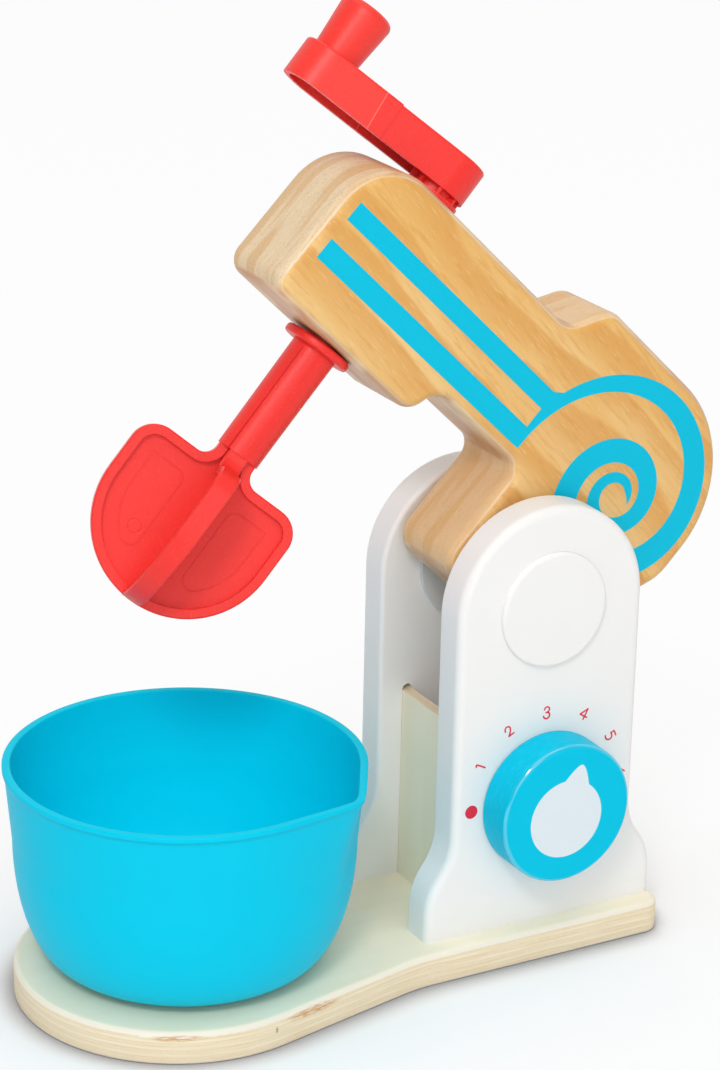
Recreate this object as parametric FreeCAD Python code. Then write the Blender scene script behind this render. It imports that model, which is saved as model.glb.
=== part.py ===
import FreeCAD, Part
import math
import os
from FreeCAD import Placement, Rotation, Vector

# Toy stand mixer, millimetres, +Z up. The bowl end points to -X, the dial side to -Y.
# The origin is the middle of the base board's underside.

X_AXIS, Y_AXIS, Z_AXIS = Vector(1, 0, 0), Vector(0, 1, 0), Vector(0, 0, 1)

# Clearances
glue_gap = 0.05          # a piece glued or pressed into its hole, per side
running_gap = 0.08       # a shaft that turns in its hole, per side
face_gap = 0.25          # a flat face that turns beside another
seat_gap = 0.3           # a loose piece above what it stands on

# Base board
board_length = 233.4
board_thick = 12.0
board_half_width = 42.5
lobe_radius = 57.8
shoulder_angle = 13.0
shoulder_radius = 60.0
board_end_radius = 7.0
board_top_round = 2.0
board_bottom_round = 1.0

# Uprights
upright_thick = 14.0
upright_half_width = 37.4
upright_gap = 40.7
foot_half_width = 47.2
foot_height = 18.0
flare_height = 12.9
flare_radius = 23.5
upright_outer_round = 3.0
upright_inner_round = 1.6
upright_end_margin = 1.0

# Panels between the uprights
panel_thick = 4.0
panel_height = 73.3
panel_tenon = 5.0
panel_setback = 9.6
groove_depth = 5.3
groove_width = 4.2

# Head pivot
pivot_height = 119.6
cap_radius = 21.0
cap_proud = 1.9
cap_sunk = 4.0
cap_round = 1.2
spacer_radius = 22.0
pocket_radius = 8.0
pocket_depth = 6.0
bolt_radius = 3.0
bolt_hole_radius = 3.2
bolt_head_flats = 10.0
bolt_head_height = 3.0
nut_height = 3.4
washer_radius = 7.0
washer_thick = 1.2
bush_wall = 2.0

# Head
head_thick = 36.0
head_round = 4.0
head_raise = 44.1
nose_reach = 160.3
head_underside = 17.6
head_top = 77.3
nose_top_radius = 23.5
nose_bottom_radius = 6.5
hump_start = 57.5
hump_run = 11.0
hump_top = 93.0
hump_corner_radius = 8.5
rear_radius = 43.5
rear_low = 36.0
rear_blend_radius = 20.0
neck_bottom = -13.7
neck_rear = 35.0
neck_front = 37.0
neck_shoulder = 20.0
neck_corner_radius = 9.0
notch_top = 30.0
notch_radius = 6.5
chin_start = 82.5
chin_run = 4.0
chin_radius = 8.3

# Drive through the head
drive_reach = 121.2
drive_lean = 2.8
journal_radius = 6.5
journal_length = 24.0
rod_side = 6.0
rod_length = 52.0
arm_turn = 23.3
arm_reach = 53.2
arm_radius = 10.8
arm_height = 13.6
arm_wall = 2.0
arm_lift = 4.6
arm_round = 1.0
jacket_proud = 0.35
flange_radius = 10.4
flange_thick = 1.6
boss_radius = 7.6
boss_rib_count = 8
boss_rib_thick = 1.2
arm_rib_thick = 1.4
knob_base_radius = 8.1
knob_top_radius = 9.9
knob_height = 19.8
knob_round = 2.6
knob_wall = 2.0

# Beater
collar_radius = 12.6
collar_thick = 3.0
tube_radius = 8.2
tube_end_radius = 7.9
tube_length = 43.3
tube_seam_proud = 0.3
tube_seam_width = 0.9
tube_seam_angles = (-155.0, -15.0)
blade_turn = 4.0
blade_half_width = 32.2
blade_neck_half_width = 7.2
blade_drop = 6.5
blade_depth = 53.8
blade_neck_radius = 5.0
blade_shoulder_radius = 9.0
blade_rim_depth = 7.4
blade_rim_width = 3.3
blade_rim_ease = 0.5
blade_web = 2.0
blade_line_margin = 5.6
blade_line_middle = 9.0
blade_line_round = 4.0
blade_line_width = 0.6
blade_line_depth = 0.35

# Dial
dial_height = 47.35
dial_radius = 26.0
dial_thick = 15.0
dial_round = 1.6
spindle_radius = 5.0
spindle_depth = 10.0
dial_washer_radius = 10.0
dial_screw_radius = 2.0
dial_screw_length = 18.0
pan_head_radius = 4.0
pan_head_height = 2.4

# Screws from below into the uprights
screw_radius = 2.0
screw_head_radius = 4.0
screw_head_height = 2.6
screw_length = 38.0
screw_spacing = 40.0
screw_sunk = 0.4

# Bowl
bowl_centre_offset = 2.4
bowl_rim_radius = 62.8
bowl_height = 73.6
bowl_wall = 2.4
bowl_lip = 0.5
bowl_lip_height = 1.5
bowl_side_radius = 59.7
bowl_curve_height = 44.0
bowl_foot_radius = 42.5
bowl_ring_radius = 37.5
bowl_ring_height = 2.0
spout_reach = 7.0
spout_least = 0.4
spout_angle = -56.4
spout_depth = 40.0
spout_tip_radius = 6.0
spout_levels = 5
spout_ease = 1.6

# Places worked out from the sizes above
lobe_x = -board_length / 2 + lobe_radius
board_end_x = board_length / 2
upright_x = board_end_x - upright_end_margin - foot_half_width
inner_face = upright_gap / 2
outer_face = inner_face + upright_thick
pivot_z = board_thick + pivot_height
dial_z = board_thick + dial_height
bowl_x = lobe_x + bowl_centre_offset


def in_xz(a, b):
    return Vector(a, 0, b)


def in_xy(a, b):
    return Vector(a, b, 0)


def rounded_wire(corners, plane):
    """Closed wire through corners (a, b, radius); each corner is an arc tangent to its two sides."""
    points = [plane(a, b) for a, b, _ in corners]
    count = len(points)
    starts, ends, edges = [], [], []
    for i, (_, _, radius) in enumerate(corners):
        to_last = (points[i - 1] - points[i]).normalize()
        to_next = (points[(i + 1) % count] - points[i]).normalize()
        if radius == 0:
            starts.append(points[i])
            ends.append(points[i])
            edges.append(None)
            continue
        half = to_last.getAngle(to_next) / 2
        inward = (to_last + to_next).normalize()
        centre = points[i] + inward * (radius / math.sin(half))
        starts.append(points[i] + to_last * (radius / math.tan(half)))
        ends.append(points[i] + to_next * (radius / math.tan(half)))
        edges.append(Part.Arc(starts[i], centre - inward * radius, ends[i]).toShape())
    loop = []
    for i in range(count):
        if edges[i]:
            loop.append(edges[i])
        following = starts[(i + 1) % count]
        if ends[i].distanceToPoint(following) > 1e-6:
            loop.append(Part.makeLine(ends[i], following))
    return Part.Wire(loop)


def slab(wire, thickness, start, direction):
    """Solid of a flat wire, from start and through thickness along direction."""
    solid = Part.Face(wire).extrude(direction * thickness)
    solid.translate(direction * start)
    return solid


def rod(radius, start, end, direction=Z_AXIS):
    """Cylinder about the origin's own axis in the given direction, from start to end."""
    return Part.makeCylinder(radius, end - start, direction * start, direction)


def ring(outer, inner, start, end, direction=Z_AXIS):
    return rod(outer, start, end, direction).cut(rod(inner, start, end, direction))


def moved(shape, x=0.0, y=0.0, z=0.0):
    copy = shape.copy()
    copy.translate(Vector(x, y, z))
    return copy


def flat_edges(shape, direction, value):
    """Edges that lie whole in the plane at value along direction."""
    found = []
    for edge in shape.Edges:
        heights = [point.dot(direction) for point in edge.discretize(5)]
        if max(abs(height - value) for height in heights) < 1e-4:
            found.append(edge)
    return found


def stadium(reach, radius, bottom, top):
    """Bar with round ends: one end about Z, the other about a parallel line at reach along X."""
    bar = Part.makeBox(reach, 2 * radius, top - bottom, Vector(0, -radius, bottom))
    ends = [rod(radius, bottom, top), moved(rod(radius, bottom, top), x=reach)]
    return bar.multiFuse(ends).removeSplitter()


def hexagon(flats, start, end, direction):
    """Hexagonal prism along direction."""
    radius = flats / math.sqrt(3)
    across = X_AXIS
    up = direction.cross(across)
    points = []
    for i in range(7):
        angle = math.radians(60 * i)
        points.append(across * (radius * math.cos(angle)) + up * (radius * math.sin(angle)))
    return slab(Part.makePolygon(points), end - start, start, direction)


# Placements: the head is drawn level about its pivot, and the drive about its own axis
head_place = Placement(Vector(upright_x, 0, pivot_z), Rotation(Y_AXIS, head_raise))
drive_place = Placement(Vector(-drive_reach, 0, head_underside), Rotation(Y_AXIS, -drive_lean))
drive_top = (head_top - head_underside) / math.cos(math.radians(drive_lean))


def lean_clearance(radius):
    """How far a turning disc stands off the head, so that the lean doesn't bring its edge into it."""
    return radius * math.tan(math.radians(drive_lean)) + face_gap


def raised(shape):
    copy = shape.copy()
    copy.Placement = head_place.multiply(copy.Placement)
    return copy


def on_drive(shape, turn=0.0):
    copy = shape.copy()
    spin = Placement(Vector(), Rotation(Z_AXIS, turn))
    copy.Placement = head_place.multiply(drive_place).multiply(spin).multiply(copy.Placement)
    return copy


def screw_places():
    row = inner_face + upright_thick / 2
    for side in (-1, 1):
        for end in (-1, 1):
            yield upright_x + end * screw_spacing / 2, side * row


def make_base_board():
    angle = math.radians(shoulder_angle)
    touch_x = lobe_x + lobe_radius * math.sin(angle)
    touch_y = lobe_radius * math.cos(angle)
    bend_x = touch_x + (touch_y - board_half_width) / math.tan(angle)
    side = [(touch_x, touch_y, 0), (bend_x, board_half_width, shoulder_radius),
            (board_end_x, board_half_width, board_end_radius)]
    tail = side + [(x, -y, radius) for x, y, radius in reversed(side)]
    board = slab(rounded_wire(tail, in_xy), board_thick, 0, Z_AXIS)
    board = board.fuse(moved(rod(lobe_radius, 0, board_thick), x=lobe_x)).removeSplitter()
    board = board.makeFillet(board_top_round, flat_edges(board, Z_AXIS, board_thick))
    board = board.makeFillet(board_bottom_round, flat_edges(board, Z_AXIS, 0))
    for x, y in screw_places():
        hole = rod(screw_radius + glue_gap, 0, board_thick)
        sink_top = screw_sunk + screw_head_height
        sink = Part.makeCone(screw_head_radius + glue_gap, screw_radius + glue_gap, screw_head_height,
                             Vector(0, 0, screw_sunk))
        mouth = rod(screw_head_radius + glue_gap, 0, screw_sunk)
        board = board.cut(moved(hole.multiFuse([sink, mouth]), x, y))
    return board


def make_base_screws():
    screws = []
    for x, y in screw_places():
        head = Part.makeCone(screw_head_radius, screw_radius, screw_head_height)
        point_start = screw_length - 2 * screw_radius
        shank = rod(screw_radius, screw_head_height, point_start)
        point = Part.makeCone(screw_radius, screw_radius / 5, 2 * screw_radius, Vector(0, 0, point_start))
        slot = Part.makeBox(2 * screw_head_radius, screw_radius / 2, screw_radius / 2,
                            Vector(-screw_head_radius, -screw_radius / 4, 0))
        cross = slot.copy()
        cross.rotate(Vector(), Z_AXIS, 90)
        recess = slot.fuse(cross).common(rod(screw_radius, 0, screw_radius))
        screws.append(moved(head.multiFuse([shank, point]).cut(recess), x, y, screw_sunk))
    return Part.makeCompound(screws)


def make_upright(side):
    """One side plank; side is -1 for the dial side and 1 for the far side."""
    foot_top = board_thick + foot_height
    arch_top = pivot_z + upright_half_width
    right = [(foot_half_width, board_thick, 0), (foot_half_width, foot_top, flare_radius),
             (upright_half_width, foot_top + flare_height, flare_radius),
             (upright_half_width, arch_top, upright_half_width)]
    left = [(-x, z, radius) for x, z, radius in reversed(right)]
    plank = slab(rounded_wire(right + left, in_xz), upright_thick, inner_face, Y_AXIS)
    for value, radius in ((outer_face, upright_outer_round), (inner_face, upright_inner_round)):
        rim = [edge for edge in flat_edges(plank, Y_AXIS, value)
               if edge.BoundBox.ZMax > board_thick + 1e-3]
        plank = plank.makeFillet(radius, rim)
    plank = moved(plank, x=upright_x)
    cap_floor = outer_face - cap_sunk
    pocket_floor = cap_floor - pocket_depth
    holes = [rod(cap_radius + glue_gap, cap_floor, outer_face, Y_AXIS),
             rod(pocket_radius, pocket_floor, cap_floor, Y_AXIS),
             rod(bolt_hole_radius, inner_face, pocket_floor, Y_AXIS)]
    for hole in holes:
        plank = plank.cut(moved(hole, upright_x, 0, pivot_z))
    for end in (-1, 1):
        plank = plank.cut(panel_groove(end))
    for x, y in screw_places():
        if y > 0:
            pilot = rod(screw_radius + glue_gap, board_thick, screw_sunk + screw_length + glue_gap)
            plank = plank.cut(moved(pilot, x, y))
    if side < 0:
        plank = plank.mirror(Vector(), Y_AXIS)
        spindle_hole = rod(spindle_radius + running_gap, inner_face, outer_face, -Y_AXIS)
        plank = plank.cut(moved(spindle_hole, upright_x, 0, dial_z))
    return plank


def panel_middle(end):
    """X of a panel's middle plane; end is -1 towards the bowl and 1 towards the rear."""
    return upright_x + end * (upright_half_width - panel_setback - panel_thick / 2)


def panel_groove(end):
    """Routed groove in the far plank's inner face, with a round top end."""
    straight_top = board_thick + panel_height + glue_gap
    box = Part.makeBox(groove_width, groove_depth, straight_top - board_thick,
                       Vector(-groove_width / 2, inner_face, board_thick))
    top = moved(rod(groove_width / 2, inner_face, inner_face + groove_depth, Y_AXIS), z=straight_top)
    return moved(box.fuse(top), x=panel_middle(end))


def make_panel(end):
    half = inner_face + panel_tenon
    panel = Part.makeBox(panel_thick, 2 * half, panel_height, Vector(-panel_thick / 2, -half, board_thick))
    return moved(panel, x=panel_middle(end))


def make_cap(side):
    """Disc glued into the upright's counterbore, over the bolt's end."""
    cap = rod(cap_radius, outer_face - cap_sunk + glue_gap, outer_face + cap_proud, Y_AXIS * side)
    cap = cap.makeFillet(cap_round, flat_edges(cap, Y_AXIS, side * (outer_face + cap_proud)))
    return moved(cap, upright_x, 0, pivot_z)


def make_spacer(side):
    disc = ring(spacer_radius, bolt_hole_radius, head_thick / 2 + face_gap, inner_face, Y_AXIS * side)
    return moved(disc, upright_x, 0, pivot_z)


def make_pivot_washers():
    floor = outer_face - cap_sunk - pocket_depth
    washers = [ring(washer_radius, bolt_hole_radius, floor, floor + washer_thick, Y_AXIS * side)
               for side in (-1, 1)]
    return moved(Part.makeCompound(washers), upright_x, 0, pivot_z)


def make_pivot_bolt():
    seat = outer_face - cap_sunk - pocket_depth + washer_thick
    end = seat + nut_height + bolt_radius / 3
    head = hexagon(bolt_head_flats, seat, seat + bolt_head_height, -Y_AXIS)
    crown = rod(bolt_head_flats / 2, seat, seat + bolt_head_height, -Y_AXIS)
    crown = crown.makeChamfer(bolt_head_height / 8, flat_edges(crown, Y_AXIS, -seat - bolt_head_height))
    shank = rod(bolt_radius, -end, seat, -Y_AXIS)
    return moved(head.common(crown.fuse(head)).fuse(shank), upright_x, 0, pivot_z)


def make_pivot_nut():
    seat = outer_face - cap_sunk - pocket_depth + washer_thick
    nut = hexagon(bolt_head_flats, seat, seat + nut_height, Y_AXIS)
    nut = nut.cut(rod(bolt_radius + glue_gap, seat, seat + nut_height, Y_AXIS))
    return moved(nut, upright_x, 0, pivot_z)


def make_head_block():
    corners = [(nose_reach, head_underside, nose_bottom_radius), (nose_reach, head_top, nose_top_radius),
               (hump_start, head_top, hump_corner_radius),
               (hump_start - hump_run, hump_top, hump_corner_radius),
               (-rear_radius, hump_top, rear_radius), (-rear_radius, rear_low, rear_blend_radius),
               (-neck_rear, neck_shoulder, notch_radius), (-neck_rear, neck_bottom, neck_corner_radius),
               (neck_front, neck_bottom, neck_corner_radius), (neck_front, notch_top, notch_radius),
               (chin_start, notch_top, chin_radius), (chin_start + chin_run, head_underside, chin_radius)]
    outline = rounded_wire([(-reach, height, radius) for reach, height, radius in corners], in_xz)
    block = slab(outline, head_thick, -head_thick / 2, Y_AXIS)
    for side in (-1, 1):
        block = block.makeFillet(head_round, flat_edges(block, Y_AXIS, side * head_thick / 2))
    bush_radius = bolt_radius + running_gap + bush_wall
    block = block.cut(rod(bush_radius + glue_gap, -head_thick, head_thick, Y_AXIS))
    bore = rod(journal_radius + running_gap, -journal_length, drive_top + journal_length)
    bore.Placement = drive_place
    return raised(block.cut(bore))


def make_pivot_bush():
    inner = bolt_radius + running_gap
    half = head_thick / 2
    return moved(ring(inner + bush_wall, inner, -half, half, Y_AXIS), upright_x, 0, pivot_z)


def square_socket(start, end):
    side = rod_side + 2 * glue_gap
    return Part.makeBox(side, side, end - start, Vector(-side / 2, -side / 2, start))


def rod_start():
    return (drive_top - rod_length) / 2


def make_drive_rod():
    steel = Part.makeBox(rod_side, rod_side, rod_length, Vector(-rod_side / 2, -rod_side / 2, rod_start()))
    return on_drive(steel, 180 - arm_turn)


def make_crank():
    bottom = drive_top + arm_lift
    top = bottom + arm_height
    half = arm_reach / 2
    arm = stadium(arm_reach, arm_radius, bottom, top)
    arm = arm.makeFillet(arm_round, flat_edges(arm, Z_AXIS, top))
    jacket = moved(stadium(half, arm_radius + jacket_proud, bottom, top + jacket_proud), x=half)
    jacket = jacket.makeFillet(arm_round, flat_edges(jacket, Z_AXIS, top + jacket_proud))
    behind = Part.makeBox(2 * arm_reach, 4 * arm_radius, 2 * arm_height,
                          Vector(half - 2 * arm_reach, -2 * arm_radius, bottom - 1))
    arm = arm.fuse(jacket.cut(behind))
    cavity = stadium(arm_reach, arm_radius - arm_wall, bottom, top - arm_wall)
    knob_foot = top - arm_wall
    knob_top = top + knob_height
    knob = Part.makeCone(knob_base_radius, knob_top_radius, knob_height + arm_wall, Vector(0, 0, knob_foot))
    knob = knob.makeFillet(knob_round, flat_edges(knob, Z_AXIS, knob_top))
    bore = Part.makeCone(knob_base_radius - knob_wall, knob_top_radius - knob_wall, knob_height,
                         Vector(0, 0, knob_foot))
    crank = arm.fuse(moved(knob, x=arm_reach)).cut(cavity).cut(moved(bore, x=arm_reach))
    flange_low = drive_top + lean_clearance(flange_radius)
    flange = rod(flange_radius, flange_low, flange_low + flange_thick)
    boss = rod(boss_radius, flange_low, knob_foot)
    journal = rod(journal_radius, drive_top - journal_length, flange_low)
    parts = [flange, boss, journal]
    for i in range(boss_rib_count):
        rib = Part.makeBox(flange_radius, boss_rib_thick, bottom + arm_wall - flange_low,
                           Vector(0, -boss_rib_thick / 2, flange_low))
        rib.rotate(Vector(), Z_AXIS, i * 360 / boss_rib_count)
        parts.append(rib.common(rod(arm_radius - arm_wall / 2, flange_low, knob_foot)))
    for place in (half - arm_radius / 3, arm_reach - arm_radius):
        rib_height = arm_height / 2
        parts.append(Part.makeBox(arm_rib_thick, 2 * arm_radius - arm_wall, rib_height,
                                  Vector(place, arm_wall / 2 - arm_radius, knob_foot - rib_height)))
    crank = crank.multiFuse(parts).removeSplitter()
    rod_end = rod_start() + rod_length + glue_gap
    return on_drive(crank.cut(square_socket(-journal_length, rod_end)), 180 - arm_turn)


def make_blade():
    """One flat blade with a deep rim and a thin web, in the XZ plane, below the tube's end."""
    top = -lean_clearance(collar_radius) - collar_thick - tube_length
    shoulder = top - blade_drop
    low = shoulder - blade_depth
    rooted = top + blade_drop
    right = [(blade_neck_half_width, rooted, 0), (blade_neck_half_width, shoulder, blade_neck_radius),
             (blade_half_width, shoulder, blade_shoulder_radius),
             (blade_half_width, low, blade_half_width)]
    left = [(-x, z, radius) for x, z, radius in reversed(right)]
    outline = rounded_wire(right + left, in_xz)
    blade = slab(outline, blade_rim_depth, -blade_rim_depth / 2, Y_AXIS)
    for side in (-1, 1):
        rim = [edge for edge in flat_edges(blade, Y_AXIS, side * blade_rim_depth / 2)
               if edge.BoundBox.ZMin < rooted - blade_rim_ease and edge.BoundBox.ZMax < rooted + 1e-6]
        blade = blade.makeChamfer(blade_rim_ease, rim)
    inner = Part.Face(outline).makeOffset2D(-blade_rim_width)
    pocket_depth_each = (blade_rim_depth - blade_web) / 2
    for side in (-1, 1):
        pocket = inner.extrude(Y_AXIS * (side * pocket_depth_each))
        blade = blade.cut(moved(pocket, y=side * blade_web / 2))
    panels = blade_panels(outline, low, 0).cut(blade_panels(outline, low, blade_line_width))
    for side in (-1, 1):
        sunk = side * (blade_web / 2 - blade_line_depth)
        blade = blade.cut(moved(panels, y=sunk if side > 0 else sunk - blade_web))
    return blade.removeSplitter()


def blade_panels(outline, low, inset):
    """The field on each half of the web that a fine line is moulded round, moved in by inset."""
    field = Part.Face(outline).makeOffset2D(-blade_rim_width - blade_line_margin - inset)
    field = field.extrude(Y_AXIS * blade_web)
    half_gap = blade_line_middle + inset
    middle = Part.makeBox(2 * half_gap, 2 * blade_web, 2 * blade_depth,
                          Vector(-half_gap, -blade_web / 2, low - blade_depth / 2))
    panels = field.cut(middle)
    corners = [edge for edge in panels.Edges
               if abs(edge.tangentAt(edge.FirstParameter).dot(Y_AXIS)) > 0.999 and is_corner(panels, edge)]
    return panels.makeFillet(blade_line_round - inset, corners)


def is_corner(solid, edge):
    """Whether the two faces that meet at this edge turn sharply."""
    faces = [face for face in solid.Faces if any(edge.isSame(other) for other in face.Edges)]
    middle = edge.Vertexes[0].Point
    normals = [face.normalAt(*face.Surface.parameter(middle)) for face in faces]
    return len(normals) == 2 and normals[0].dot(normals[1]) < 0.9


def make_beater():
    collar_top = -lean_clearance(collar_radius)
    collar_low = collar_top - collar_thick
    tube_low = collar_low - tube_length
    collar = rod(collar_radius, collar_low, collar_top)
    collar = collar.makeFillet(collar_thick / 3, flat_edges(collar, Z_AXIS, collar_top)
                               + flat_edges(collar, Z_AXIS, collar_low))
    tube = Part.makeCone(tube_end_radius, tube_radius, tube_length, Vector(0, 0, tube_low))
    journal = rod(journal_radius, collar_top, journal_length)
    blade = make_blade()
    blade.rotate(Vector(), Z_AXIS, -blade_turn)
    cross = blade.copy()
    cross.rotate(Vector(), Z_AXIS, 90)
    seams = []
    for angle in tube_seam_angles:
        seam = Part.makeBox(tube_end_radius + tube_seam_proud, tube_seam_width, tube_length,
                            Vector(0, -tube_seam_width / 2, tube_low))
        seam.rotate(Vector(), Z_AXIS, angle - 180 + arm_turn)
        seams.append(seam)
    beater = collar.multiFuse([tube, journal, blade, cross, *seams]).removeSplitter()
    rod_end = rod_start() - glue_gap
    return on_drive(beater.cut(square_socket(rod_end, 2 * journal_length)), 180 - arm_turn)


def make_dial_knob():
    start = outer_face + face_gap
    end = outer_face + dial_thick
    knob = rod(dial_radius, start, end, -Y_AXIS)
    knob = knob.makeFillet(dial_round, flat_edges(knob, Y_AXIS, -end))
    knob = knob.makeFillet(face_gap * 3, flat_edges(knob, Y_AXIS, -start))
    knob = knob.cut(rod(spindle_radius + glue_gap, start, start + spindle_depth, -Y_AXIS))
    return moved(knob, upright_x, 0, dial_z)


def make_dial_spindle():
    start = inner_face - face_gap
    end = outer_face + face_gap + spindle_depth - glue_gap
    spindle = rod(spindle_radius, start, end, -Y_AXIS)
    spindle = spindle.cut(rod(dial_screw_radius + glue_gap, start, start + dial_screw_length, -Y_AXIS))
    return moved(spindle, upright_x, 0, dial_z)


def make_dial_washer():
    end = inner_face - face_gap
    washer = ring(dial_washer_radius, dial_screw_radius + glue_gap, end - washer_thick, end, -Y_AXIS)
    return moved(washer, upright_x, 0, dial_z)


def make_dial_screw():
    seat = inner_face - face_gap - washer_thick
    head = rod(pan_head_radius, seat - pan_head_height, seat, -Y_AXIS)
    head = head.makeFillet(pan_head_height / 2, flat_edges(head, Y_AXIS, pan_head_height - seat))
    shank = rod(dial_screw_radius, seat, seat + dial_screw_length, -Y_AXIS)
    slot = Part.makeBox(2 * pan_head_radius, pan_head_height / 2, dial_screw_radius / 2,
                        Vector(-pan_head_radius, pan_head_height / 2 - seat, -dial_screw_radius / 4))
    return moved(head.fuse(shank).cut(slot), upright_x, 0, dial_z)


def bowl_profile(inset, floor):
    """Half section of the bowl's outside, moved in by inset, from the axis at floor up to the rim."""
    rim = bowl_rim_radius - bowl_lip - inset
    side = bowl_side_radius - inset
    foot = bowl_foot_radius - inset
    curve_top = bowl_ring_height + bowl_curve_height
    semi_height = curve_top - floor
    ellipse = Part.Ellipse(Vector(foot, 0, floor), Vector(side, 0, curve_top), Vector(foot, 0, curve_top))
    corner = Part.ArcOfEllipse(ellipse, 0, math.pi / 2).toShape()
    ends = sorted((vertex.Point for vertex in corner.Vertexes), key=lambda point: point.z)
    edges = [Part.makeLine(Vector(0, 0, floor), ends[0]), corner,
             Part.makeLine(ends[1], Vector(rim, 0, bowl_height)),
             Part.makeLine(Vector(rim, 0, bowl_height), Vector(0, 0, bowl_height)),
             Part.makeLine(Vector(0, 0, bowl_height), Vector(0, 0, floor))]
    return Part.Face(Part.Wire(Part.__sortEdges__(edges))).revolve(Vector(), Z_AXIS, 360)


def spout(inset):
    """Pouring lip: two sides tangent to the rim meet at the tip, and run out down the wall."""
    sections = []
    for i in range(spout_levels):
        share = 1 - i / (spout_levels - 1)
        height = bowl_height - spout_depth * (1 - share)
        round_radius = bowl_side_radius + (bowl_rim_radius - bowl_side_radius) * share - inset
        tip = round_radius + spout_least + (spout_reach - spout_least) * share ** spout_ease
        touch = math.acos(round_radius / tip)
        side_x = round_radius * math.cos(touch)
        side_y = round_radius * math.sin(touch)
        corners = [(0, 0, 0), (side_x, -side_y, 0), (tip, 0, spout_tip_radius), (side_x, side_y, 0)]
        wire = rounded_wire(corners, in_xy)
        wire.translate(Vector(0, 0, height))
        sections.append(wire)
    lip = Part.makeLoft(sections, True, True)
    lip.rotate(Vector(), Z_AXIS, spout_angle)
    return lip


def make_bowl():
    outside = bowl_profile(0, bowl_ring_height)
    bead = ring(bowl_rim_radius, bowl_side_radius, bowl_height - bowl_lip_height, bowl_height)
    outside = outside.multiFuse([bead, spout(0), ring(bowl_ring_radius, bowl_ring_radius - 2 * bowl_wall,
                                                     0, bowl_ring_height + bowl_wall / 2)])
    inside = bowl_profile(bowl_wall, bowl_ring_height + bowl_wall).fuse(spout(bowl_wall))
    bowl = outside.cut(inside).removeSplitter()
    return moved(bowl, x=bowl_x, z=board_thick + seat_gap / 2)


nodes = {
    "base_board": make_base_board(),
    "base_screws": make_base_screws(),
    "near_upright": make_upright(-1),
    "far_upright": make_upright(1),
    "front_panel": make_panel(-1),
    "rear_panel": make_panel(1),
    "near_spacer": make_spacer(-1),
    "far_spacer": make_spacer(1),
    "pivot_bolt": make_pivot_bolt(),
    "pivot_washers": make_pivot_washers(),
    "pivot_nut": make_pivot_nut(),
    "near_cap": make_cap(-1),
    "far_cap": make_cap(1),
    "head_block": make_head_block(),
    "pivot_bush": make_pivot_bush(),
    "crank": make_crank(),
    "drive_rod": make_drive_rod(),
    "beater": make_beater(),
    "dial_knob": make_dial_knob(),
    "dial_spindle": make_dial_spindle(),
    "dial_washer": make_dial_washer(),
    "dial_screw": make_dial_screw(),
    "bowl": make_bowl(),
}

os.makedirs("parts", exist_ok=True)
for name, shape in nodes.items():
    shape.exportStep(f"parts/{name}.step")
    box = shape.BoundBox
    print(f"{name}: {len(shape.Solids)} solid, valid {shape.isValid()}, volume {shape.Volume:.0f},"
          f" x {box.XMin:.1f} to {box.XMax:.1f}, y {box.YMin:.1f} to {box.YMax:.1f},"
          f" z {box.ZMin:.1f} to {box.ZMax:.1f}")
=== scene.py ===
import math

import bmesh
import bpy
import numpy as np
from mathutils import Matrix, Vector


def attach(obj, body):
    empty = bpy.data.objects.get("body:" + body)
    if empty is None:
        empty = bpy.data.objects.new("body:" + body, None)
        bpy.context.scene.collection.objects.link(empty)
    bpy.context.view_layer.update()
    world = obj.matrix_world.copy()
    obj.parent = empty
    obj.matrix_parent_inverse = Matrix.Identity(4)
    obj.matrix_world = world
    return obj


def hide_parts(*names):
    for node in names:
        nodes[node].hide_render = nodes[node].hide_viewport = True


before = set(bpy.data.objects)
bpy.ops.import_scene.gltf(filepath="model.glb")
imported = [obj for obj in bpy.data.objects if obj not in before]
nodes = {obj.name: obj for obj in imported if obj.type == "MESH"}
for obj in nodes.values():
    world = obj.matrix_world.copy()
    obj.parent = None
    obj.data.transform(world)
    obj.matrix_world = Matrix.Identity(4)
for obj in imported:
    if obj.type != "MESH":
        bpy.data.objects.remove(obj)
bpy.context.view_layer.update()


# Base board: birch plywood sawn to a round lobe and a straight tail. The top is sprayed pale sage,
# the edge is left raw, so that its plies show, and the top corner is rounded over.
MM = 0.001


class Wire:
    """A number or colour on its way through a material: arithmetic on it adds Math nodes."""

    def __init__(self, finish, socket):
        self.finish, self.socket = finish, socket

    def _pair(self, operation, first, second):
        return self.finish.add("Math", {"operation": operation}, first, second)

    def __add__(self, other):
        return self._pair("ADD", self, other)

    def __radd__(self, other):
        return self._pair("ADD", other, self)

    def __sub__(self, other):
        return self._pair("SUBTRACT", self, other)

    def __rsub__(self, other):
        return self._pair("SUBTRACT", other, self)

    def __mul__(self, other):
        return self._pair("MULTIPLY", self, other)

    def __rmul__(self, other):
        return self._pair("MULTIPLY", other, self)

    def __truediv__(self, other):
        return self._pair("DIVIDE", self, other)

    def __rtruediv__(self, other):
        return self._pair("DIVIDE", other, self)

    def __abs__(self):
        return self.finish.add("Math", {"operation": "ABSOLUTE"}, self)

    def fraction(self):
        return self.finish.add("Math", {"operation": "FRACT"}, self)

    def above(self, low, high):
        """0 below low, 1 above high, and a smooth step between."""
        return self.finish.add("MapRange", {"interpolation_type": "SMOOTHSTEP"}, self, low, high, 0, 1)


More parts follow.
